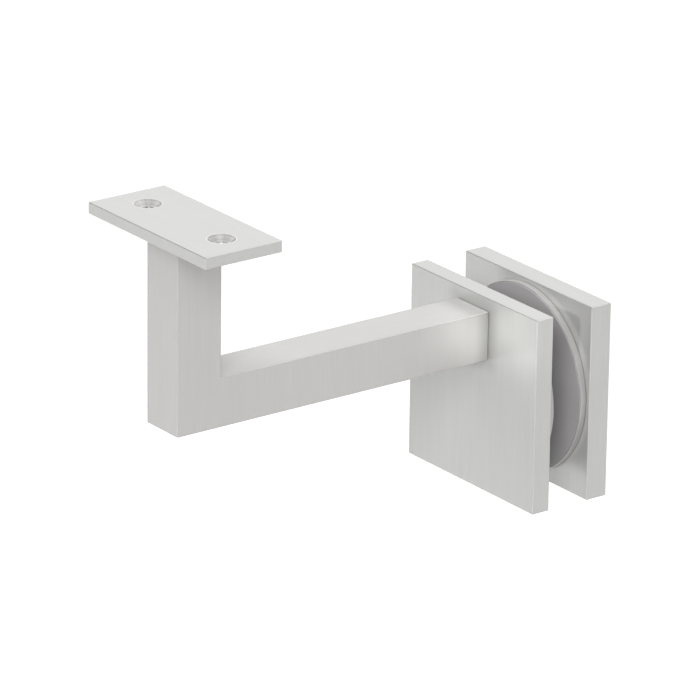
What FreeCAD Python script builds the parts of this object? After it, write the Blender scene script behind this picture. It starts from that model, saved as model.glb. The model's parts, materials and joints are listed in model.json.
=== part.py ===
"""Glass mount bracket for a handrail.

A saddle plate under the rail stands on a square post. The post meets a square arm, and the arm ends
at one of two square plates that clamp a pane of glass between round, gasketed discs.

Millimetres. +X runs along the rail, +Y is the clamp axis and points from the rail side through the
glass, and +Z is up. The origin is on the clamp axis, in the middle of the glass.
"""
import FreeCAD, Part
import os
from math import cos, pi, sin
from FreeCAD import Rotation, Vector

# Clamp plates, glass and discs
plate_side = 60.0
front_plate_thickness = 6.0
rear_plate_thickness = 7.25
glass_thickness = 9.5
disc_margin = 1.25  # plate left beside the disc at the middle of each side
disc_thickness = 2.0
disc_lip_width = 0.35
disc_edge_chamfer = 0.15
gasket_recess_depth = 1.0
gasket_thickness = 1.25
gasket_edge_chamfer = 0.1

# Bars and saddle
bar_side = 15.0
arm_projection = 110.0  # front face of the front plate to the outer face of the post
arm_top_margin = 3.9  # top of the arm to the top of the front plate
arm_end_chamfer = 0.4
saddle_length = 57.25
saddle_width = 26.0
saddle_thickness = 3.5
saddle_top_height = 72.0  # above the clamp axis
rail_hole_spacing = 36.0
rail_hole_diameter = 4.5
rail_countersink_diameter = 8.0
edge_round = 0.3

# M8 clamp screw, from the back of the rear plate into the front plate
clamp_thread_diameter = 8.0
clamp_head_diameter = 15.3
clamp_socket_width = 5.0
clamp_socket_depth = 3.0
front_skin = 1.25  # metal left between the blind thread and the front face

# M6 arm screw, from the back of the front plate into the arm
arm_thread_diameter = 6.0
arm_head_diameter = 11.4
arm_socket_width = 4.0
arm_socket_depth = 2.4
arm_thread_engagement = 10.25

# Features that both screws share
head_land = 0.3
head_sink = 0.25
screw_tip_chamfer = 0.6
thread_run_out = 0.75

# Pins that keep the arm square to the plate
pin_diameter = 2.0
pin_depth_in_plate = 2.4
pin_depth_in_arm = 4.6
pin_offset = 5.25  # each side of the arm screw
pin_chamfer = 0.2

# Bush that keeps the clamp screw off the glass
bush_wall = 3.0
bush_chamfer = 0.3

# Clearances
shank_clearance = 0.2
thread_clearance = 0.02
pin_clearance = 0.01
bush_bore_clearance = 0.15
bush_end_clearance = 0.3
gasket_bore_clearance = 0.25
gasket_rim_clearance = 0.1
cut_overrun = 1.0

# Stations along the clamp axis, from the rail side to the back
gasket_proud = gasket_thickness - gasket_recess_depth
front_plate_back = -(glass_thickness / 2 + gasket_proud + disc_thickness)
front_plate_front = front_plate_back - front_plate_thickness
rear_plate_front = -front_plate_back
rear_plate_back = rear_plate_front + rear_plate_thickness
post_outer = front_plate_front - arm_projection
post_inner = post_outer + bar_side
post_centre = post_outer + bar_side / 2

# Heights above the clamp axis
arm_top = plate_side / 2 - arm_top_margin
arm_centre = arm_top - bar_side / 2
arm_bottom = arm_top - bar_side
saddle_underside = saddle_top_height - saddle_thickness

# Radii
disc_radius = plate_side / 2 - disc_margin
recess_radius = disc_radius - disc_lip_width
clamp_thread_radius = clamp_thread_diameter / 2
clamp_hole_radius = clamp_thread_radius + shank_clearance
arm_thread_radius = arm_thread_diameter / 2
arm_hole_radius = arm_thread_radius + shank_clearance
bush_bore_radius = clamp_thread_radius + bush_bore_clearance
bush_radius = bush_bore_radius + bush_wall
pin_radius = pin_diameter / 2

TOWARDS_BACK = Vector(0, 1, 0)
TOWARDS_RAIL = Vector(0, -1, 0)
UP = Vector(0, 0, 1)
DOWN = Vector(0, 0, -1)


def block(low, high):
    """A box between two corners."""
    size = high - low
    return Part.makeBox(size.x, size.y, size.z, low)


def placed(shape, start, axis):
    """A shape made along +Z from the origin, moved so that it starts at a point and runs along an axis."""
    shape.Placement = FreeCAD.Placement(start, Rotation(UP, axis))
    return shape


def turned(profile, start, axis):
    """A turned solid: (radius, distance along the axis) points, closed and spun once round the axis."""
    points = [Vector(radius, 0, along) for radius, along in profile]
    outline = Part.Face(Part.makePolygon(points + [points[0]]))
    return placed(outline.revolve(Vector(0, 0, 0), UP, 360), start, axis)


def ring(inner_radius, outer_radius, length, chamfer, start, axis):
    """A turned ring whose four edges are chamfered."""
    profile = [
        (inner_radius + chamfer, 0),
        (outer_radius - chamfer, 0),
        (outer_radius, chamfer),
        (outer_radius, length - chamfer),
        (outer_radius - chamfer, length),
        (inner_radius + chamfer, length),
        (inner_radius, length - chamfer),
        (inner_radius, chamfer),
    ]
    return turned(profile, start, axis)


def drilled(radius, length, start, axis):
    """A drill of that radius, from just before a point and that far past it."""
    profile = [(0, -cut_overrun), (radius, -cut_overrun), (radius, length), (0, length)]
    return turned(profile, start, axis)


def countersunk(mouth_radius, hole_radius, length, start, axis):
    """A 90 degree countersink that opens at a point, and the hole that goes on below it."""
    profile = [
        (0, -cut_overrun),
        (mouth_radius + cut_overrun, -cut_overrun),
        (hole_radius, mouth_radius - hole_radius),
        (hole_radius, length + cut_overrun),
        (0, length + cut_overrun),
    ]
    return turned(profile, start, axis)


def socket(width, depth, start, axis):
    """A hexagon socket, by its width across flats."""
    corner = width / 2 / cos(pi / 6)
    turns = [step * pi / 3 for step in range(7)]
    points = [Vector(corner * cos(turn), corner * sin(turn), -cut_overrun) for turn in turns]
    hexagon = Part.Face(Part.makePolygon(points))
    return placed(hexagon.extrude(UP * (depth + cut_overrun)), start, axis)


def countersunk_screw(head_radius, thread_radius, length, socket_width, socket_depth, start, axis):
    """A countersunk socket screw, its thread left plain at the major diameter."""
    profile = [
        (0, 0),
        (head_radius, 0),
        (head_radius, head_land),
        (thread_radius, head_land + head_radius - thread_radius),
        (thread_radius, length - screw_tip_chamfer),
        (thread_radius - screw_tip_chamfer, length),
        (0, length),
    ]
    screw = turned(profile, start, axis)
    return screw.cut(socket(socket_width, socket_depth, start, axis))


def rounded(shape, picks):
    """The shape with the edges that picks accepts rounded to the common edge radius."""
    edges = [edge for edge in shape.Edges if picks(edge.BoundBox)]
    return shape.makeFillet(edge_round, edges)


def square_plate(front, back):
    """A clamp plate, with all its edges rounded."""
    half = plate_side / 2
    plate = block(Vector(-half, front, -half), Vector(half, back, half))
    return rounded(plate, lambda box: True)


def saddle_plate():
    """Flat saddle under the rail, with two holes countersunk from above."""
    low = Vector(-saddle_length / 2, post_centre - saddle_width / 2, saddle_underside)
    high = Vector(saddle_length / 2, post_centre + saddle_width / 2, saddle_top_height)
    saddle = rounded(block(low, high), lambda box: True)
    for side in (-1, 1):
        mouth = Vector(side * rail_hole_spacing / 2, post_centre, saddle_top_height)
        hole = countersunk(
            rail_countersink_diameter / 2, rail_hole_diameter / 2, saddle_thickness, mouth, DOWN
        )
        saddle = saddle.cut(hole)
    return saddle


def post_bar():
    """Square bar from the foot of the elbow to the saddle.

    Its inner edges are rounded only above the arm: below that the joint is welded and dressed flush.
    """
    half = bar_side / 2
    low = Vector(-half, post_outer, arm_bottom)
    high = Vector(half, post_inner, saddle_underside)

    def is_outer_or_foot(box):
        outer_upright = box.ZLength > bar_side and box.YMax < post_centre
        foot = box.ZMax < arm_centre and box.YMin < post_centre
        return outer_upright or foot

    post = rounded(block(low, high), is_outer_or_foot)
    for side in (-1, 1):
        corner = Vector(side * half, post_inner, 0)
        centre = corner - Vector(side * edge_round, edge_round, 0)
        strip = block(
            Vector(min(corner.x, centre.x), centre.y, arm_top),
            Vector(max(corner.x, centre.x), corner.y, saddle_underside),
        )
        core = Part.makeCylinder(
            edge_round, saddle_underside - arm_top, Vector(centre.x, centre.y, arm_top)
        )
        post = post.cut(strip.cut(core))
    return post


def pin_places():
    """The two pins' places on the arm's end, one each side of the arm screw."""
    return [Vector(side * pin_offset, front_plate_front, arm_centre) for side in (-1, 1)]


def arm_bar():
    """Square bar from the post to the front plate, tapped and drilled for pins in its end."""
    half = bar_side / 2
    low = Vector(-half, post_inner, arm_bottom)
    high = Vector(half, front_plate_front, arm_top)
    bar = rounded(block(low, high), lambda box: box.YLength > bar_side)
    blank = block(low, high)
    end = [edge for edge in blank.Edges if edge.BoundBox.YMin > post_inner + half]
    arm = bar.common(blank.makeChamfer(arm_end_chamfer, end))
    tapped = drilled(
        arm_thread_radius + thread_clearance,
        arm_thread_engagement + thread_run_out,
        Vector(0, front_plate_front, arm_centre),
        TOWARDS_RAIL,
    )
    arm = arm.cut(tapped)
    for place in pin_places():
        arm = arm.cut(
            drilled(pin_radius + pin_clearance, pin_depth_in_arm + pin_chamfer, place, TOWARDS_RAIL)
        )
    return arm


def seat_mouth_radius(head_diameter):
    """The radius at the plate's face of a seat whose cone matches a sunk screw head."""
    return head_diameter / 2 + head_land + head_sink


def front_plate():
    """Front clamp plate: blind thread for the clamp screw, seat for the arm screw, holes for the pins."""
    plate = square_plate(front_plate_front, front_plate_back)
    blind_thread = drilled(
        clamp_thread_radius + thread_clearance,
        front_plate_thickness - front_skin,
        Vector(0, front_plate_back, 0),
        TOWARDS_RAIL,
    )
    seat = countersunk(
        seat_mouth_radius(arm_head_diameter),
        arm_hole_radius,
        front_plate_thickness,
        Vector(0, front_plate_back, arm_centre),
        TOWARDS_RAIL,
    )
    plate = plate.cut(blind_thread).cut(seat)
    for place in pin_places():
        plate = plate.cut(
            drilled(pin_radius + pin_clearance, pin_depth_in_plate + pin_chamfer, place, TOWARDS_BACK)
        )
    return plate


def rear_plate():
    """Rear clamp plate, with the clamp screw's seat in its back."""
    plate = square_plate(rear_plate_front, rear_plate_back)
    seat = countersunk(
        seat_mouth_radius(clamp_head_diameter),
        clamp_hole_radius,
        rear_plate_thickness,
        Vector(0, rear_plate_back, 0),
        TOWARDS_RAIL,
    )
    return plate.cut(seat)


def clamp_disc(seat, axis):
    """Turned disc bonded to its plate, with a thin lip round the recess that holds the gasket."""
    recess_floor = disc_thickness - gasket_recess_depth
    profile = [
        (clamp_hole_radius, 0),
        (disc_radius - disc_edge_chamfer, 0),
        (disc_radius, disc_edge_chamfer),
        (disc_radius, disc_thickness - disc_edge_chamfer),
        (disc_radius - disc_edge_chamfer, disc_thickness),
        (recess_radius, disc_thickness),
        (recess_radius, recess_floor),
        (clamp_hole_radius, recess_floor),
    ]
    return turned(profile, Vector(0, seat, 0), axis)


def gasket(face, axis):
    """Rubber ring in the disc's recess, standing a little proud of the lip. It starts at its glass face."""
    return ring(
        bush_radius + gasket_bore_clearance,
        recess_radius - gasket_rim_clearance,
        gasket_thickness,
        gasket_edge_chamfer,
        Vector(0, face, 0),
        axis,
    )


def glass_bush():
    """Nylon sleeve on the clamp screw, through the hole in the glass and both gaskets."""
    half_length = glass_thickness / 2 + gasket_thickness - bush_end_clearance
    return ring(
        bush_bore_radius,
        bush_radius,
        2 * half_length,
        bush_chamfer,
        Vector(0, -half_length, 0),
        TOWARDS_BACK,
    )


def clamp_screw():
    """M8 screw that pulls the two plates together."""
    head_top = rear_plate_back - head_sink
    tip = front_plate_front + front_skin + thread_run_out
    return countersunk_screw(
        clamp_head_diameter / 2,
        clamp_thread_radius,
        head_top - tip,
        clamp_socket_width,
        clamp_socket_depth,
        Vector(0, head_top, 0),
        TOWARDS_RAIL,
    )


def arm_screw():
    """M6 screw that holds the arm to the front plate, its head under the disc."""
    head_top = front_plate_back - head_sink
    tip = front_plate_front - arm_thread_engagement
    return countersunk_screw(
        arm_head_diameter / 2,
        arm_thread_radius,
        head_top - tip,
        arm_socket_width,
        arm_socket_depth,
        Vector(0, head_top, arm_centre),
        TOWARDS_RAIL,
    )


def arm_pins():
    """Two dowel pins across the joint of arm and front plate."""
    length = pin_depth_in_arm + pin_depth_in_plate
    profile = [
        (0, 0),
        (pin_radius - pin_chamfer, 0),
        (pin_radius, pin_chamfer),
        (pin_radius, length - pin_chamfer),
        (pin_radius - pin_chamfer, length),
        (0, length),
    ]
    starts = [place - TOWARDS_BACK * pin_depth_in_arm for place in pin_places()]
    return Part.makeCompound([turned(profile, start, TOWARDS_BACK) for start in starts])


def bracket():
    """Every piece of the bracket, by name."""
    glass_face = glass_thickness / 2
    return {
        "saddle_plate": saddle_plate(),
        "post_bar": post_bar(),
        "arm_bar": arm_bar(),
        "front_plate": front_plate(),
        "arm_screw": arm_screw(),
        "arm_pins": arm_pins(),
        "front_clamp_disc": clamp_disc(front_plate_back, TOWARDS_BACK),
        "front_gasket": gasket(-glass_face, TOWARDS_RAIL),
        "glass_bush": glass_bush(),
        "rear_gasket": gasket(glass_face, TOWARDS_BACK),
        "rear_clamp_disc": clamp_disc(rear_plate_front, TOWARDS_RAIL),
        "rear_plate": rear_plate(),
        "clamp_screw": clamp_screw(),
    }


os.makedirs("parts", exist_ok=True)
for name, piece in bracket().items():
    piece.exportStep(f"parts/{name}.step")
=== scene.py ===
"""Looks of a glass mount bracket for a handrail: satin stainless steel, turned discs, rubber and nylon.

Metres, in the part's own frame: +X along the rail, +Y along the clamp axis through the glass, +Z up.
"""
import json
from math import atan, cos, pi, radians, sin

import bpy
import numpy as np
from mathutils import Matrix, Vector


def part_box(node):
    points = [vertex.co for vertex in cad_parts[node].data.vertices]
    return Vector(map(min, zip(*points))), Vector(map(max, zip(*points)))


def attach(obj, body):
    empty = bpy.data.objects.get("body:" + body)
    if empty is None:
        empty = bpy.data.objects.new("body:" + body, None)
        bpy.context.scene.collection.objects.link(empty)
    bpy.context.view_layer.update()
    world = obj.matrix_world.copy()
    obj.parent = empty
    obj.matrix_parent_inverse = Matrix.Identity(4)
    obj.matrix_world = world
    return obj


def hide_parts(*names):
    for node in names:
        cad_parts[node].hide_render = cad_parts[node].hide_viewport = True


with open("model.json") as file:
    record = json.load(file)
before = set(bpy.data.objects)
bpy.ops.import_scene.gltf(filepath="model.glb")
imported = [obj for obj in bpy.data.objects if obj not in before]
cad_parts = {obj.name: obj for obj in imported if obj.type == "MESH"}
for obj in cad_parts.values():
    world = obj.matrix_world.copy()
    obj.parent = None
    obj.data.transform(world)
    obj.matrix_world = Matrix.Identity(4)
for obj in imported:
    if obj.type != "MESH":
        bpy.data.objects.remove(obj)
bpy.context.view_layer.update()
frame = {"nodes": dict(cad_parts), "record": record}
nodes = frame["nodes"]
scene = bpy.context.scene
MM = 0.001


def corners(node):
    """The lowest and the highest corner of a CAD node."""
    low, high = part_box(node)
    return Vector(low), Vector(high)


# Places that the finishes and the lamps follow
rail_screws = next(mount for mount in frame["record"]["mounts"] if mount["name"] == "rail_screws")
rail_hole_offset = rail_screws["dims"]["spacing_x_mm"] / 2 * MM
rail_hole_line = rail_screws["pos_m"][1]
arm_low, arm_high = corners("arm_bar")
arm_half_width = (arm_high.x - arm_low.x) / 2
arm_end_middle = Vector((0, arm_high.y, (arm_low.z + arm_high.z) / 2))
arm_end_side = arm_end_middle + Vector((arm_half_width, 0, 0))
disc_back = corners("rear_clamp_disc")[1].y

# Camera, fitted to the photograph's edges: degrees, metres, and mm for the lens and sensor
CAMERA_AZIMUTH = 53.3744
CAMERA_ELEVATION = 20.4747
CAMERA_ROLL = 0.7531
CAMERA_DISTANCE = 1.682716
CAMERA_TARGET = Vector((-0.0060535, -0.053, 0.0185558))
CAMERA_LENS = 300.156
CAMERA_REACH = 50
SENSOR_WIDTH = 36

# Studio: metres, and light in units of the white
FLOOR_HEIGHT = -0.75
FLOOR_HALF_SIDE = 6.0
FLOOR_ALBEDO = 0.6
FLOOR_LIFT = 0.81
FLOOR_FADE = (2.1, 3.4)  # how far away the floor starts to fade to the room's white, and ends
ROOM_LIGHT = 0.1

# Large soft lights round the camera's target: azimuth, elevation, distance, side and level
SOFT_LIGHTS = {
    "key light": (47, 32, 2.6, 1.4, 7.1),
    "fill light": (-25, 25, 2.6, 1.4, 2.65),
    "back light": (155, 30, 2.6, 1.4, 3.3),
    "overhead light": (0, 85, 1.6, 1.2, 3.75),
}

# A small low light that the steel mirrors at the arm's end, with the same values
LOW_LIGHT = (53.4, -20.5, 0.5, 0.13, 1.6)

# Small lamps that light the corner of arm and plate: the pool's middle, measured in mm from the side
# of the arm's end, the lamp's azimuth, the pool's radius in metres and its level
CORNER_LIGHTS = {
    "corner light left": ((-3.8, -4.7, 0.3), 51, 0.0115, 0.98),
    "corner light right": ((17.0, 0.0, 6.0), 20, 0.0145, 0.54),
}
CORNER_LIGHT_ELEVATION = 17
CORNER_LIGHT_DISTANCE = 0.6
CORNER_LIGHT_RADIUS = 0.006
CORNER_LIGHT_SOFT_EDGE = 1.0

# Satin steel: how much of it shines as bare metal, its roughness and its tones
SATIN_METALLIC = 0.3
LAND_ROUGHNESS = 0.17
SCRATCH_ROUGHNESS = 0.25
EDGE_ROUGHNESS = 0.5
PLATE_TONES = ("#bcbcba", "#b8b8b6")
BAR_TONES = ("#bbbab8", "#b7b6b4")
# painted shade on the upright faces round the arm's end
JOINT_SHADE_TONE = "#a0a09e"
# painted shade on the long edges that look up
UPPER_EDGE_SHADE_TONE = "#8a8a88"
# painted highlight on the long edges that look down
LOWER_EDGE_HIGHLIGHT_TONE = "#dcdcda"

# The grain of the satin faces, in mm
GRAIN_WIDTH = 0.3
GRAIN_LENGTH = 18.0
GRAIN_DEPTH = 0.0012
GRAIN_DETAIL = 2
TRACK_WIDTH = 2.4
TRACK_LENGTH = 54.0
TRACK_DETAIL = 1
TRACK_SHARE = 0.3
GRAIN_SPREAD = (0.35, 0.65)  # the part of the noise that goes from one tone to the other
JOINT_SHADE_REACH = 6.0  # how far from the arm's end the painted shade reaches
# the most painted shade, at the arm's end
JOINT_SHARE = 0.8

# How a face lies, by the parts of its normal. Each pair is where a change starts and where it ends
LEVEL_FACE = 0.85  # the least upward or downward part on a level face
ROUNDED_EDGE = (0.99, 0.92)
LEANING_EDGE = (0.08, 0.3)
SLOPING_EDGE = (0.1, 0.35)

# The saddle's holes, cut after grinding: sizes in mm, roughness and tones
HOLE_RADIUS = 4.05  # just past the edge of an 8 mm countersink
HOLE_RIM_WIDTH = 0.25
CUT_RING_PITCH = 0.5
CUT_RING_DETAIL = 1
CHATTER_SCALE = 1.6
CHATTER_SHARE = 0.5
CUT_SPREAD = (0.38, 0.62)
CUT_ROUGHNESS = 0.16
# painted sheen on the hole walls, light and dark along the rings and chatter
CUT_SHEEN_TONES = ("#b6b5b3", "#dad9d7")
# painted highlight on the holes' rims
RIM_HIGHLIGHT_TONE = "#cfcfcd"

# Turned discs: sizes in mm, roughness and tones
TOOL_RING_PITCH = 0.22
TOOL_RING_DEPTH = 0.002
TOOL_RING_DETAIL = 2
TURNED_SPREAD = (0.3, 0.7)
TURNED_ROUGHNESS = (0.28, 0.4)
TURNED_TONES = ("#b2b1af", "#a8a7a5")
# the seam is a narrow line of painted shadow where each disc meets its plate
SEAM_SHADOW_WIDTH = 0.5
SEAM_SHADOW_TONE = "#787776"

# Screws and pins: sizes in mm, roughness and tones
TUMBLED_SPOT = 0.3
TUMBLED_DEPTH = 0.004
TUMBLED_DETAIL = 3
TUMBLED_SPREAD = (0.3, 0.7)
TUMBLED_ROUGHNESS = (0.24, 0.42)
TUMBLED_METALLIC = 0.85
TUMBLED_TONES = ("#bdbcbb", "#a5a4a3")
MOTTLE_SPOT = 2.4
MOTTLE_DETAIL = 2

# Gaskets: sizes in mm, roughness and tones
RUBBER_GRAIN = 0.28
RUBBER_GRAIN_DEPTH = 0.012
RUBBER_GRAIN_DETAIL = 2
RUBBER_BLOOM = 9.0
RUBBER_BLOOM_DETAIL = 3
RUBBER_ROUGHNESS = (0.62, 0.82)
RUBBER_TONES = ("#999798", "#a19fa0")
RUBBER_IOR = 1.5

# Glass bush: sizes in mm, roughness and tones
NYLON_RING_PITCH = 0.3
NYLON_RING_DEPTH = 0.004
NYLON_ROUGHNESS = (0.38, 0.55)
NYLON_TONES = ("#e6e3d8", "#dedbcf")
NYLON_IOR = 1.53

# Screws with their threads, in mm: each socket is its width across flats and its depth
CLAMP_THREAD_RADIUS = 4.0
CLAMP_THREAD_PITCH = 1.25
CLAMP_SOCKET = (5.0, 3.0)
ARM_THREAD_RADIUS = 3.0
ARM_THREAD_PITCH = 1.0
ARM_SOCKET = (4.0, 2.4)
SOCKET_FLOOR_CONE = 0.4
SOCKET_CHAMFER = 0.1
HEAD_EDGE = 0.05
HEAD_LAND = 0.3
TIP_CHAMFER = 0.6

# A metric thread, in shares of its pitch
THREAD_DEPTH = 0.6134
THREAD_CREST = 0.125
THREAD_ROOT = 0.25
THREAD_FADE_START = 0.5

# How finely a screw is drawn: steps in a pitch, steps in a turn, and the bend that shows sharp
THREAD_STEPS = 16
STEPS_ROUND = 72
SHARP_ANGLE = 28

# Sockets of the node that mixes numbers, vectors or colours
SHARE = 0
NUMBER_A = 2
NUMBER_B = 3
VECTOR_A = 4
VECTOR_B = 5
COLOUR_A = 6
COLOUR_B = 7
MIXED_NUMBER = 0
MIXED_VECTOR = 1
MIXED_COLOUR = 2


def direction(azimuth, elevation):
    """The unit vector at an azimuth from -Y towards +X, and an elevation, in degrees."""
    return Vector((
        sin(radians(azimuth)) * cos(radians(elevation)),
        -cos(radians(azimuth)) * cos(radians(elevation)),
        sin(radians(elevation)),
    ))


def add_camera():
    """The camera looks at its target from an azimuth and elevation, and is turned about its own axis."""
    back = direction(CAMERA_AZIMUTH, CAMERA_ELEVATION)
    level_right = direction(CAMERA_AZIMUTH + 90, 0)
    level_up = back.cross(level_right)
    roll = radians(CAMERA_ROLL)
    right = level_right * cos(roll) + level_up * sin(roll)
    up = level_up * cos(roll) - level_right * sin(roll)
    data = bpy.data.cameras.new("camera")
    data.lens = CAMERA_LENS
    data.sensor_width = SENSOR_WIDTH
    data.clip_end = CAMERA_REACH
    camera = bpy.data.objects.new("camera", data)
    turn = Matrix((right, up, back)).transposed().to_4x4()
    camera.matrix_world = Matrix.Translation(CAMERA_TARGET + back * CAMERA_DISTANCE) @ turn
    scene.collection.objects.link(camera)
    scene.camera = camera


def srgb(code):
    """A hex colour of the screen as the linear colour that a shader takes."""
    parts = [int(code[start:start + 2], 16) / 255 for start in (1, 3, 5)]
    linear = [part / 12.92 if part <= 0.04045 else ((part + 0.055) / 1.055) ** 2.4 for part in parts]
    return (*linear, 1)


def add_node(tree, kind, inputs=None, **settings):
    """A node with its settings. Each input is a value, or the socket that feeds it."""
    node = tree.nodes.new(kind)
    for name, value in settings.items():
        setattr(node, name, value)
    for socket, value in (inputs or {}).items():
        if isinstance(value, bpy.types.NodeSocket):
            tree.links.new(value, node.inputs[socket])
        else:
            node.inputs[socket].default_value = value
    return node


def new_tree(name):
    """An empty material and its node tree."""
    material = bpy.data.materials.new(name)
    material.use_nodes = True
    material.node_tree.nodes.clear()
    return material, material.node_tree


def finish_tree(tree, inputs):
    """The material's shader, with its sockets set or fed, and the output."""
    shader = add_node(tree, "ShaderNodeBsdfPrincipled", inputs)
    add_node(tree, "ShaderNodeOutputMaterial", {"Surface": shader.outputs["BSDF"]})


def streaks(tree, spot, is_level, level_grain, width, length, detail):
    """Noise drawn out along the grain.

    The grain is upright on upright faces, and along level_grain, x or y, on level ones.
    """
    across = 1 / (width * MM)
    along = 1 / (length * MM)
    level_scale = (along, across, across) if level_grain == "x" else (across, along, across)
    upright = add_node(tree, "ShaderNodeMapping", {"Vector": spot, "Scale": (across, across, along)})
    level = add_node(tree, "ShaderNodeMapping", {"Vector": spot, "Scale": level_scale})
    chosen = add_node(
        tree, "ShaderNodeMix",
        {SHARE: is_level, VECTOR_A: upright.outputs["Vector"], VECTOR_B: level.outputs["Vector"]},
        data_type="VECTOR",
    ).outputs[MIXED_VECTOR]
    return add_node(
        tree, "ShaderNodeTexNoise", {"Vector": chosen, "Scale": 1, "Detail": detail}
    ).outputs["Fac"]


def painted_joint_shade(tree, spot, is_upright):
    """How much painted shade darkens the upright faces round the arm's end, from JOINT_SHARE down to
    nothing.

    A point's distance from the square of the arm's end is the length of its offset from the square's
    middle, with the square's half sides taken off and anything below nothing made nothing.
    """
    offset = spot
    for operation, value in (
        ("SUBTRACT", arm_end_middle),
        ("ABSOLUTE", None),
        ("SUBTRACT", (arm_half_width, 0, arm_half_width)),
        ("MAXIMUM", (0, 0, 0)),
    ):
        inputs = {0: offset} if value is None else {0: offset, 1: value}
        offset = add_node(tree, "ShaderNodeVectorMath", inputs, operation=operation).outputs[0]
    distance = add_node(tree, "ShaderNodeVectorMath", {0: offset}, operation="LENGTH").outputs["Value"]
    share = add_node(
        tree, "ShaderNodeMapRange",
        {"Value": distance, "From Min": 0, "From Max": JOINT_SHADE_REACH * MM, "To Min": JOINT_SHARE, "To Max": 0},
        interpolation_type="SMOOTHSTEP",
    ).outputs["Result"]
    return add_node(tree, "ShaderNodeMath", {0: share, 1: is_upright}, operation="MULTIPLY").outputs[0]


def on_edge(tree, tilt):
    """1 on the rounded edges, where no part of the normal comes close to 1, and 0 on the flat faces."""
    sideways = add_node(
        tree, "ShaderNodeMath", {0: tilt.outputs["X"], 1: tilt.outputs["Y"]}, operation="MAXIMUM"
    ).outputs[0]
    squareness = add_node(
        tree, "ShaderNodeMath", {0: sideways, 1: tilt.outputs["Z"]}, operation="MAXIMUM"
    ).outputs[0]
    return add_node(
        tree, "ShaderNodeMapRange",
        {"Value": squareness, "From Min": ROUNDED_EDGE[0], "From Max": ROUNDED_EDGE[1]},
    ).outputs["Result"]


def paint_edge_shade_and_highlight(tree, colour, edge, normal, tilt):
    """Painted shade on the long edges that look up and along Y, and a painted highlight on those that look
    down and along Y.
    """
    leaning = add_node(
        tree, "ShaderNodeMapRange",
        {"Value": tilt.outputs["Y"], "From Min": LEANING_EDGE[0], "From Max": LEANING_EDGE[1]},
    ).outputs["Result"]
    long_edge = add_node(tree, "ShaderNodeMath", {0: edge, 1: leaning}, operation="MULTIPLY").outputs[0]
    for side, tone in ((1, UPPER_EDGE_SHADE_TONE), (-1, LOWER_EDGE_HIGHLIGHT_TONE)):
        start, end = [side * slope for slope in SLOPING_EDGE]
        facing = add_node(
            tree, "ShaderNodeMapRange",
            {"Value": normal.outputs["Z"], "From Min": start, "From Max": end},
        ).outputs["Result"]
        share = add_node(tree, "ShaderNodeMath", {0: long_edge, 1: facing}, operation="MULTIPLY").outputs[0]
        colour = add_node(
            tree, "ShaderNodeMix", {SHARE: share, COLOUR_A: colour, COLOUR_B: srgb(tone)}, data_type="RGBA"
        ).outputs[MIXED_COLOUR]
    return colour


def hole_marks(tree, spot, is_upright):
    """Where the saddle is hole wall or rim, the rings on the wall, and the light and dark marks of painted
    sheen on it.

    Both holes are tested at once, by the distance along X from either hole's axis. The rings follow
    the height, a few times coarser than a cutter leaves them, so that they show, and the chatter
    marks follow the bearing from the axis.
    """
    point = add_node(tree, "ShaderNodeSeparateXYZ", {"Vector": spot})
    aside = add_node(tree, "ShaderNodeMath", {0: point.outputs["X"]}, operation="ABSOLUTE").outputs[0]
    across = add_node(tree, "ShaderNodeMath", {0: aside, 1: rail_hole_offset}, operation="SUBTRACT")
    deep = add_node(
        tree, "ShaderNodeMath", {0: point.outputs["Y"], 1: rail_hole_line}, operation="SUBTRACT"
    )
    from_axis = add_node(
        tree, "ShaderNodeCombineXYZ", {"X": across.outputs[0], "Y": deep.outputs[0]}
    ).outputs[0]
    radius = add_node(tree, "ShaderNodeVectorMath", {0: from_axis}, operation="LENGTH").outputs["Value"]
    is_near = add_node(
        tree, "ShaderNodeMath", {0: radius, 1: HOLE_RADIUS * MM}, operation="LESS_THAN"
    ).outputs[0]
    is_cut = add_node(tree, "ShaderNodeMath", {0: is_near, 1: is_upright}, operation="MULTIPLY").outputs[0]
    is_rim = add_node(
        tree, "ShaderNodeMath",
        {0: radius, 1: HOLE_RADIUS * MM, 2: HOLE_RIM_WIDTH * MM},
        operation="COMPARE",
    ).outputs[0]
    rings = add_node(
        tree, "ShaderNodeTexNoise",
        {"W": point.outputs["Z"], "Scale": 1 / (CUT_RING_PITCH * MM), "Detail": CUT_RING_DETAIL},
        noise_dimensions="1D",
    ).outputs["Fac"]
    bearing = add_node(tree, "ShaderNodeVectorMath", {0: from_axis}, operation="NORMALIZE").outputs[0]
    chatter = add_node(
        tree, "ShaderNodeTexNoise", {"Vector": bearing, "Scale": CHATTER_SCALE, "Detail": CUT_RING_DETAIL}
    ).outputs["Fac"]
    marks = add_node(
        tree, "ShaderNodeMix", {SHARE: CHATTER_SHARE, NUMBER_A: rings, NUMBER_B: chatter}
    ).outputs[MIXED_NUMBER]
    marks = add_node(
        tree, "ShaderNodeMapRange", {"Value": marks, "From Min": CUT_SPREAD[0], "From Max": CUT_SPREAD[1]}
    ).outputs["Result"]
    return is_cut, is_rim, rings, marks


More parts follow.
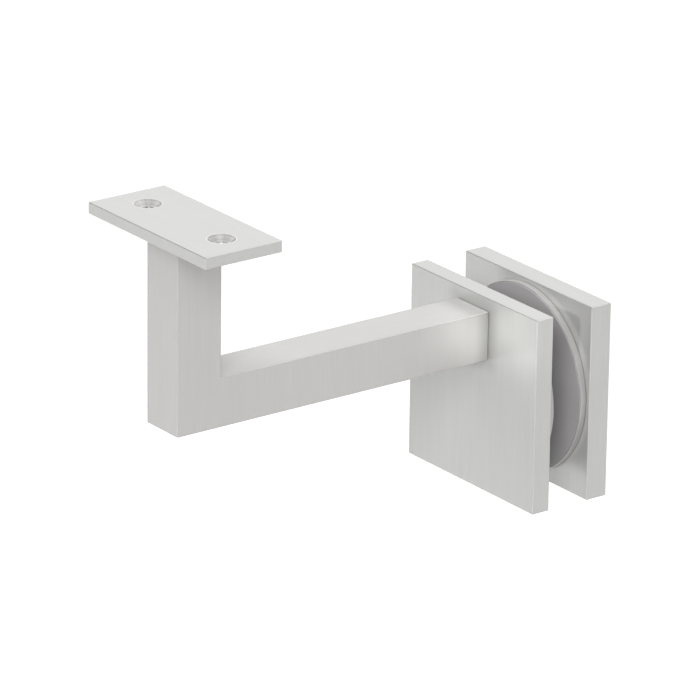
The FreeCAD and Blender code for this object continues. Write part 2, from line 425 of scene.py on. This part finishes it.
def satin_stainless(name, level_grain, tones, holes=False):
    """Stainless steel 304, ground with a fine belt to a satin finish.

    The belt leaves fine straight scratches, upright on the upright faces and along level_grain, x or
    y, on the level ones. They scatter most of the light, so the steel looks soft and pale, and the
    lands between them still mirror what is near. The scratches are drawn a few times wider than a
    240 grit belt leaves them, so that they show. The belt also leaves wider, fainter tracks. Painted
    shade darkens the upright faces round the arm's end. The edges are broken by hand and rougher
    than the faces, with painted shade on those that look up and a painted highlight on those that
    look down. With holes, the saddle's countersunk holes are bare cut metal, made after grinding,
    with rings, light and dark marks of painted sheen along the rings and chatter, and deburred rims
    with a painted highlight on them.
    """
    material, tree = new_tree(name)
    place = add_node(tree, "ShaderNodeTexCoord")
    spot = place.outputs["Object"]
    normal = add_node(tree, "ShaderNodeSeparateXYZ", {"Vector": place.outputs["Normal"]})
    unsigned = add_node(tree, "ShaderNodeVectorMath", {0: place.outputs["Normal"]}, operation="ABSOLUTE")
    tilt = add_node(tree, "ShaderNodeSeparateXYZ", {"Vector": unsigned.outputs[0]})
    is_level = add_node(
        tree, "ShaderNodeMath", {0: tilt.outputs["Z"], 1: LEVEL_FACE}, operation="GREATER_THAN"
    ).outputs[0]
    is_upright = add_node(tree, "ShaderNodeMath", {0: 1.0, 1: is_level}, operation="SUBTRACT").outputs[0]
    scratches = streaks(tree, spot, is_level, level_grain, GRAIN_WIDTH, GRAIN_LENGTH, GRAIN_DETAIL)
    tracks = streaks(tree, spot, is_level, level_grain, TRACK_WIDTH, TRACK_LENGTH, TRACK_DETAIL)
    grain = add_node(
        tree, "ShaderNodeMix", {SHARE: TRACK_SHARE, NUMBER_A: scratches, NUMBER_B: tracks}
    ).outputs[MIXED_NUMBER]
    grain = add_node(
        tree, "ShaderNodeMapRange",
        {"Value": grain, "From Min": GRAIN_SPREAD[0], "From Max": GRAIN_SPREAD[1]},
    ).outputs["Result"]
    roughness = add_node(
        tree, "ShaderNodeMapRange", {"Value": grain, "To Min": LAND_ROUGHNESS, "To Max": SCRATCH_ROUGHNESS}
    ).outputs["Result"]
    colour = add_node(
        tree, "ShaderNodeMix",
        {SHARE: grain, COLOUR_A: srgb(tones[0]), COLOUR_B: srgb(tones[1])},
        data_type="RGBA",
    ).outputs[MIXED_COLOUR]
    # Painted shade round the arm's end
    colour = add_node(
        tree, "ShaderNodeMix",
        {SHARE: painted_joint_shade(tree, spot, is_upright), COLOUR_A: colour, COLOUR_B: srgb(JOINT_SHADE_TONE)},
        data_type="RGBA",
    ).outputs[MIXED_COLOUR]
    edge = on_edge(tree, tilt)
    roughness = add_node(
        tree, "ShaderNodeMix", {SHARE: edge, NUMBER_A: roughness, NUMBER_B: EDGE_ROUGHNESS}
    ).outputs[MIXED_NUMBER]
    # Painted shade on the long edges that look up, and a painted highlight on those that look down
    colour = paint_edge_shade_and_highlight(tree, colour, edge, normal, tilt)
    height = scratches
    metallic = SATIN_METALLIC
    if holes:
        is_cut, is_rim, rings, marks = hole_marks(tree, spot, is_upright)
        # The light and dark marks on the hole walls are painted sheen
        cut_sheen_colour = add_node(
            tree, "ShaderNodeMix",
            {SHARE: marks, COLOUR_A: srgb(CUT_SHEEN_TONES[0]), COLOUR_B: srgb(CUT_SHEEN_TONES[1])},
            data_type="RGBA",
        ).outputs[MIXED_COLOUR]
        # A painted highlight on the holes' rims
        colour = add_node(
            tree, "ShaderNodeMix",
            {SHARE: is_rim, COLOUR_A: colour, COLOUR_B: srgb(RIM_HIGHLIGHT_TONE)},
            data_type="RGBA",
        ).outputs[MIXED_COLOUR]
        colour = add_node(
            tree, "ShaderNodeMix",
            {SHARE: is_cut, COLOUR_A: colour, COLOUR_B: cut_sheen_colour},
            data_type="RGBA",
        ).outputs[MIXED_COLOUR]
        height = add_node(
            tree, "ShaderNodeMix", {SHARE: is_cut, NUMBER_A: scratches, NUMBER_B: rings}
        ).outputs[MIXED_NUMBER]
        roughness = add_node(
            tree, "ShaderNodeMix", {SHARE: is_cut, NUMBER_A: roughness, NUMBER_B: CUT_ROUGHNESS}
        ).outputs[MIXED_NUMBER]
        metallic = add_node(
            tree, "ShaderNodeMix", {SHARE: is_cut, NUMBER_A: SATIN_METALLIC, NUMBER_B: 1.0}
        ).outputs[MIXED_NUMBER]
    bump = add_node(
        tree, "ShaderNodeBump", {"Height": height, "Distance": GRAIN_DEPTH * MM, "Strength": 1.0}
    )
    finish_tree(tree, {
        "Base Color": colour,
        "Metallic": metallic,
        "Roughness": roughness,
        "Normal": bump.outputs["Normal"],
    })
    return material


def tool_rings(tree, pitch):
    """Noise that runs in rings round the clamp axis, and how far each point is along that axis."""
    place = add_node(tree, "ShaderNodeTexCoord")
    spot = add_node(tree, "ShaderNodeSeparateXYZ", {"Vector": place.outputs["Object"]})
    flat = add_node(tree, "ShaderNodeCombineXYZ", {"X": spot.outputs["X"], "Y": spot.outputs["Z"]})
    radius = add_node(tree, "ShaderNodeVectorMath", {0: flat.outputs[0]}, operation="LENGTH")
    along = add_node(tree, "ShaderNodeMath", {0: spot.outputs["Y"]}, operation="ABSOLUTE").outputs[0]
    path = add_node(tree, "ShaderNodeMath", {0: radius.outputs["Value"], 1: along}, operation="SUBTRACT")
    rings = add_node(
        tree, "ShaderNodeTexNoise",
        {"W": path.outputs[0], "Scale": 1 / (pitch * MM), "Detail": TOOL_RING_DETAIL},
        noise_dimensions="1D",
    ).outputs["Fac"]
    return rings, along


def turned_stainless():
    """Stainless steel 304, turned on a lathe and left as turned.

    The tool leaves fine rings round the clamp axis, which draw the light into a thin sheen. They are
    drawn coarser than a finishing cut leaves them, so that they show. Where the disc meets its
    plate, a narrow line of painted shadow lies on the broken corner.
    """
    material, tree = new_tree("turned stainless")
    rings, along = tool_rings(tree, TOOL_RING_PITCH)
    # Painted shadow where the disc meets its plate
    seam_shadow = add_node(
        tree, "ShaderNodeMapRange",
        {"Value": along, "From Min": disc_back - SEAM_SHADOW_WIDTH * MM, "From Max": disc_back},
        interpolation_type="SMOOTHSTEP",
    ).outputs["Result"]
    steel = add_node(
        tree, "ShaderNodeMix",
        {SHARE: rings, COLOUR_A: srgb(TURNED_TONES[0]), COLOUR_B: srgb(TURNED_TONES[1])},
        data_type="RGBA",
    ).outputs[MIXED_COLOUR]
    colour = add_node(
        tree, "ShaderNodeMix",
        {SHARE: seam_shadow, COLOUR_A: steel, COLOUR_B: srgb(SEAM_SHADOW_TONE)},
        data_type="RGBA",
    ).outputs[MIXED_COLOUR]
    roughness = add_node(
        tree, "ShaderNodeMapRange",
        {
            "Value": rings,
            "From Min": TURNED_SPREAD[0],
            "From Max": TURNED_SPREAD[1],
            "To Min": TURNED_ROUGHNESS[0],
            "To Max": TURNED_ROUGHNESS[1],
        },
    ).outputs["Result"]
    bump = add_node(
        tree, "ShaderNodeBump", {"Height": rings, "Distance": TOOL_RING_DEPTH * MM, "Strength": 1.0}
    )
    finish_tree(tree, {
        "Base Color": colour,
        "Metallic": SATIN_METALLIC,
        "Roughness": roughness,
        "Normal": bump.outputs["Normal"],
    })
    return material


def screw_stainless():
    """Stainless steel A2, cold headed, rolled and tumbled.

    Tumbling leaves a softly mottled grey with fine dents all over, and no direction.
    """
    material, tree = new_tree("cold headed stainless")
    spot = add_node(tree, "ShaderNodeTexCoord").outputs["Object"]
    dents = add_node(
        tree, "ShaderNodeTexNoise",
        {"Vector": spot, "Scale": 1 / (TUMBLED_SPOT * MM), "Detail": TUMBLED_DETAIL},
    ).outputs["Fac"]
    mottle = add_node(
        tree, "ShaderNodeTexNoise",
        {"Vector": spot, "Scale": 1 / (MOTTLE_SPOT * MM), "Detail": MOTTLE_DETAIL},
    ).outputs["Fac"]
    colour = add_node(
        tree, "ShaderNodeMix",
        {SHARE: mottle, COLOUR_A: srgb(TUMBLED_TONES[0]), COLOUR_B: srgb(TUMBLED_TONES[1])},
        data_type="RGBA",
    ).outputs[MIXED_COLOUR]
    roughness = add_node(
        tree, "ShaderNodeMapRange",
        {
            "Value": dents,
            "From Min": TUMBLED_SPREAD[0],
            "From Max": TUMBLED_SPREAD[1],
            "To Min": TUMBLED_ROUGHNESS[0],
            "To Max": TUMBLED_ROUGHNESS[1],
        },
    ).outputs["Result"]
    bump = add_node(
        tree, "ShaderNodeBump", {"Height": dents, "Distance": TUMBLED_DEPTH * MM, "Strength": 1.0}
    )
    finish_tree(tree, {
        "Base Color": colour,
        "Metallic": TUMBLED_METALLIC,
        "Roughness": roughness,
        "Normal": bump.outputs["Normal"],
    })
    return material


def gasket_rubber():
    """Grey EPDM rubber, moulded as a sheet and cut.

    The mould's fine grain keeps it matt, and a faint dusty bloom lies on it in patches.
    """
    material, tree = new_tree("grey gasket rubber")
    spot = add_node(tree, "ShaderNodeTexCoord").outputs["Object"]
    grain = add_node(
        tree, "ShaderNodeTexNoise",
        {"Vector": spot, "Scale": 1 / (RUBBER_GRAIN * MM), "Detail": RUBBER_GRAIN_DETAIL},
    ).outputs["Fac"]
    bloom = add_node(
        tree, "ShaderNodeTexNoise",
        {"Vector": spot, "Scale": 1 / (RUBBER_BLOOM * MM), "Detail": RUBBER_BLOOM_DETAIL},
    ).outputs["Fac"]
    colour = add_node(
        tree, "ShaderNodeMix",
        {SHARE: bloom, COLOUR_A: srgb(RUBBER_TONES[0]), COLOUR_B: srgb(RUBBER_TONES[1])},
        data_type="RGBA",
    ).outputs[MIXED_COLOUR]
    roughness = add_node(
        tree, "ShaderNodeMapRange",
        {"Value": bloom, "To Min": RUBBER_ROUGHNESS[0], "To Max": RUBBER_ROUGHNESS[1]},
    ).outputs["Result"]
    bump = add_node(
        tree, "ShaderNodeBump", {"Height": grain, "Distance": RUBBER_GRAIN_DEPTH * MM, "Strength": 1.0}
    )
    finish_tree(tree, {
        "Base Color": colour,
        "Metallic": 0.0,
        "Roughness": roughness,
        "IOR": RUBBER_IOR,
        "Normal": bump.outputs["Normal"],
    })
    return material


def bush_nylon():
    """Natural nylon 6, turned from rod: off-white and a little waxy, with fine tool rings."""
    material, tree = new_tree("natural nylon")
    rings, along = tool_rings(tree, NYLON_RING_PITCH)
    colour = add_node(
        tree, "ShaderNodeMix",
        {SHARE: rings, COLOUR_A: srgb(NYLON_TONES[0]), COLOUR_B: srgb(NYLON_TONES[1])},
        data_type="RGBA",
    ).outputs[MIXED_COLOUR]
    roughness = add_node(
        tree, "ShaderNodeMapRange",
        {"Value": rings, "To Min": NYLON_ROUGHNESS[0], "To Max": NYLON_ROUGHNESS[1]},
    ).outputs["Result"]
    bump = add_node(
        tree, "ShaderNodeBump", {"Height": rings, "Distance": NYLON_RING_DEPTH * MM, "Strength": 1.0}
    )
    finish_tree(tree, {
        "Base Color": colour,
        "Metallic": 0.0,
        "Roughness": roughness,
        "IOR": NYLON_IOR,
        "Normal": bump.outputs["Normal"],
    })
    return material


def dress(material, *names):
    """Gives CAD nodes a material."""
    for name in names:
        for slot in nodes[name].material_slots:
            slot.material = material


def place_light(name, data, aim, towards, distance, in_mirrors):
    """Hangs a lamp at a distance towards a direction, facing its aim.

    Without in_mirrors, the steel doesn't mirror it.
    """
    light = bpy.data.objects.new(name, data)
    light.matrix_world = (
        Matrix.Translation(aim + towards * distance)
        @ towards.to_track_quat("Z", "Y").to_matrix().to_4x4()
    )
    light.visible_glossy = in_mirrors
    light.visible_camera = False
    scene.collection.objects.link(light)


def softbox(name, aim, towards, distance, side, radiance, in_mirrors=False):
    """A square soft light, with the radiance of its face in units of the white.

    Its power is four times the radiance times the area.
    """
    data = bpy.data.lights.new(name, "AREA")
    data.shape = "SQUARE"
    data.size = side
    data.energy = 4 * radiance * side * side
    place_light(name, data, aim, towards, distance, in_mirrors)


def spotlight(name, aim, towards, distance, radius, radiance):
    """A small lamp that lights a round pool with a soft edge: a white card there has the radiance.

    Its power is the radiance times the square of two pi times the distance.
    """
    data = bpy.data.lights.new(name, "SPOT")
    data.spot_size = 2 * atan(radius / distance)
    data.spot_blend = CORNER_LIGHT_SOFT_EDGE
    data.shadow_soft_size = CORNER_LIGHT_RADIUS
    data.energy = (2 * pi * distance) ** 2 * radiance
    place_light(name, data, aim, towards, distance, in_mirrors=False)


def add_lights():
    """The large soft lights, the low light that the steel mirrors, and the lamps on the arm's corner."""
    for name, (azimuth, elevation, distance, side, radiance) in SOFT_LIGHTS.items():
        softbox(name, CAMERA_TARGET, direction(azimuth, elevation), distance, side, radiance)
    azimuth, elevation, distance, side, radiance = LOW_LIGHT
    towards = direction(azimuth, elevation)
    softbox("low front light", arm_end_middle, towards, distance, side, radiance, in_mirrors=True)
    for name, (offset, azimuth, radius, radiance) in CORNER_LIGHTS.items():
        aim = arm_end_side + Vector(offset) * MM
        towards = direction(azimuth, CORNER_LIGHT_ELEVATION)
        spotlight(name, aim, towards, CORNER_LIGHT_DISTANCE, radius, radiance)


def white_to_the_eye(tree):
    """1 for rays from the camera, reflections and refractions, which all see a white studio."""
    path = add_node(tree, "ShaderNodeLightPath")
    seen = path.outputs["Is Camera Ray"]
    for kind in ("Is Glossy Ray", "Is Transmission Ray"):
        seen = add_node(
            tree, "ShaderNodeMath", {0: seen, 1: path.outputs[kind]}, operation="MAXIMUM"
        ).outputs[0]
    return seen


def add_room():
    """A white room: plain white to the eye, and a plain level of light on the object."""
    world = bpy.data.worlds.new("room")
    world.use_nodes = True
    tree = world.node_tree
    tree.nodes.clear()
    level = add_node(
        tree, "ShaderNodeMapRange", {"Value": white_to_the_eye(tree), "To Min": ROOM_LIGHT, "To Max": 1.0}
    )
    light = add_node(
        tree, "ShaderNodeBackground", {"Color": (1, 1, 1, 1), "Strength": level.outputs["Result"]}
    )
    add_node(tree, "ShaderNodeOutputWorld", {"Surface": light.outputs["Background"]})
    scene.world = world


def add_floor():
    """A wide pale floor that the object's shadow falls on, lifted to white for the eye.

    Under the object the lift leaves room for the light that falls on the floor. Farther away, where
    less light falls, the lift fades up to the room's white, so that no horizon shows.
    """
    half = FLOOR_HALF_SIDE
    mesh = bpy.data.meshes.new("floor")
    outline = [(-half, -half), (half, -half), (half, half), (-half, half)]
    mesh.from_pydata([(x, y, FLOOR_HEIGHT) for x, y in outline], [], [(0, 1, 2, 3)])
    floor = bpy.data.objects.new("floor", mesh)
    scene.collection.objects.link(floor)
    material, tree = new_tree("pale floor")
    place = add_node(tree, "ShaderNodeTexCoord")
    away = add_node(
        tree, "ShaderNodeVectorMath", {0: place.outputs["Object"]}, operation="LENGTH"
    ).outputs["Value"]
    level = add_node(
        tree, "ShaderNodeMapRange",
        {
            "Value": away,
            "From Min": FLOOR_FADE[0],
            "From Max": FLOOR_FADE[1],
            "To Min": FLOOR_LIFT,
            "To Max": 1.0,
        },
    ).outputs["Result"]
    lift = add_node(tree, "ShaderNodeMath", {0: white_to_the_eye(tree), 1: level}, operation="MULTIPLY")
    finish_tree(tree, {
        "Base Color": (FLOOR_ALBEDO, FLOOR_ALBEDO, FLOOR_ALBEDO, 1),
        "Roughness": 1.0,
        "Specular IOR Level": 0.0,
        "Emission Color": (1, 1, 1, 1),
        "Emission Strength": lift.outputs[0],
    })
    mesh.materials.append(material)


def screw_rings(head_radius, length, thread_radius, pitch, socket):
    """The rings of a countersunk socket screw: depth from the head's face, and radius at each turn.

    They follow the screw's profile from the socket's floor, over the head and down to the tip. In the
    socket, the ring is a hexagon: its radius is half the width across flats over the cosine of the
    turn from the nearest flat's middle. In the thread, the radius dips below the major radius by a
    wave of depth over pitch less turn: flat crests, 60 degree flanks and flat roots, fading in over
    the first pitch and a half.
    """
    socket_width, socket_depth = socket
    turn = np.linspace(0, 2 * pi, STEPS_ROUND, endpoint=False)
    from_flat = turn % (pi / 3) - pi / 6
    hexagon = socket_width / 2 / np.cos(from_flat)
    circle = np.ones(STEPS_ROUND)

    shoulder = HEAD_LAND + head_radius - thread_radius
    thread_end = length - TIP_CHAMFER
    thread_depths = np.arange(shoulder, thread_end, pitch / THREAD_STEPS)
    phase = (thread_depths[:, None] / pitch - turn[None, :] / (2 * pi)) % 1.0
    from_root = np.abs(phase - 0.5) * 2
    flank = np.clip((from_root - THREAD_ROOT) / (1 - THREAD_ROOT - THREAD_CREST), 0, 1)
    fade = np.clip((thread_depths - shoulder) / pitch - THREAD_FADE_START, 0, 1)[:, None]
    thread = thread_radius - THREAD_DEPTH * pitch * (1 - flank) * fade

    head = [
        (socket_depth, hexagon),
        (SOCKET_CHAMFER, hexagon),
        (0.0, hexagon + SOCKET_CHAMFER),
        (0.0, circle * (head_radius - HEAD_EDGE)),
        (HEAD_EDGE, circle * head_radius),
        (HEAD_LAND, circle * head_radius),
    ]
    tip = [
        (thread_end, thread[-1]),
        (length, np.minimum(thread[-1], thread_radius - TIP_CHAMFER)),
    ]
    head_depths, head_radii = zip(*head)
    tip_depths, tip_radii = zip(*tip)
    depths = np.concatenate([head_depths, thread_depths, tip_depths])
    radii = np.concatenate([head_radii, thread, tip_radii])
    return turn, depths, radii


def threaded_screw(name, node, thread_radius, pitch, socket, material):
    """A countersunk socket screw with its thread, in the place of its plain solid.

    Its rings lie round the solid's axis along Y, with quads between them, a shallow cone of triangles
    as the socket's floor and a flat fan of triangles as the tip.
    """
    low, high = [corner / MM for corner in corners(node)]
    middle_x = (low.x + high.x) / 2
    middle_z = (low.z + high.z) / 2
    head_radius = (high.x - low.x) / 2
    turn, depths, radii = screw_rings(head_radius, high.y - low.y, thread_radius, pitch, socket)
    x = middle_x + radii * np.cos(turn)
    z = middle_z + radii * np.sin(turn)
    y = np.repeat((high.y - depths)[:, None], STEPS_ROUND, axis=1)
    points = np.stack([x, y, z], axis=-1).reshape(-1, 3)
    floor_middle = [[middle_x, high.y - depths[0] - SOCKET_FLOOR_CONE, middle_z]]
    tip_middle = [[middle_x, low.y, middle_z]]
    points = np.concatenate([points, floor_middle, tip_middle]) * MM

    rings = len(depths)
    first = np.arange(STEPS_ROUND)
    following = (first + 1) % STEPS_ROUND
    starts = (np.arange(rings - 1) * STEPS_ROUND)[:, None]
    walls = np.stack([
        starts + first,
        starts + following,
        starts + STEPS_ROUND + following,
        starts + STEPS_ROUND + first,
    ], axis=-1).reshape(-1, 4)
    last = (rings - 1) * STEPS_ROUND
    floor_point = np.full(STEPS_ROUND, rings * STEPS_ROUND)
    floor_fan = np.stack([following, first, floor_point], axis=-1)
    tip_fan = np.stack([last + first, last + following, floor_point + 1], axis=-1)
    mesh = bpy.data.meshes.new(name)
    mesh.from_pydata(points.tolist(), [], walls.tolist() + floor_fan.tolist() + tip_fan.tolist())
    mesh.update()
    mesh.shade_smooth()
    mesh.set_sharp_from_angle(angle=radians(SHARP_ANGLE))
    mesh.materials.append(material)
    screw = bpy.data.objects.new(name, mesh)
    scene.collection.objects.link(screw)
    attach(screw, "root")
    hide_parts(node)


scene.view_settings.view_transform = "Standard"
add_camera()
add_room()
add_floor()
add_lights()

dress(satin_stainless("satin stainless plate", "x", PLATE_TONES), "front_plate", "rear_plate")
dress(satin_stainless("satin stainless saddle", "x", PLATE_TONES, holes=True), "saddle_plate")
dress(satin_stainless("satin stainless bar", "y", BAR_TONES), "arm_bar", "post_bar")
dress(turned_stainless(), "front_clamp_disc", "rear_clamp_disc")
dress(gasket_rubber(), "front_gasket", "rear_gasket")
dress(bush_nylon(), "glass_bush")
tumbled = screw_stainless()
dress(tumbled, "arm_pins")
threaded_screw(
    "clamp_screw_threaded", "clamp_screw", CLAMP_THREAD_RADIUS, CLAMP_THREAD_PITCH, CLAMP_SOCKET, tumbled
)
threaded_screw("arm_screw_threaded", "arm_screw", ARM_THREAD_RADIUS, ARM_THREAD_PITCH, ARM_SOCKET, tumbled)
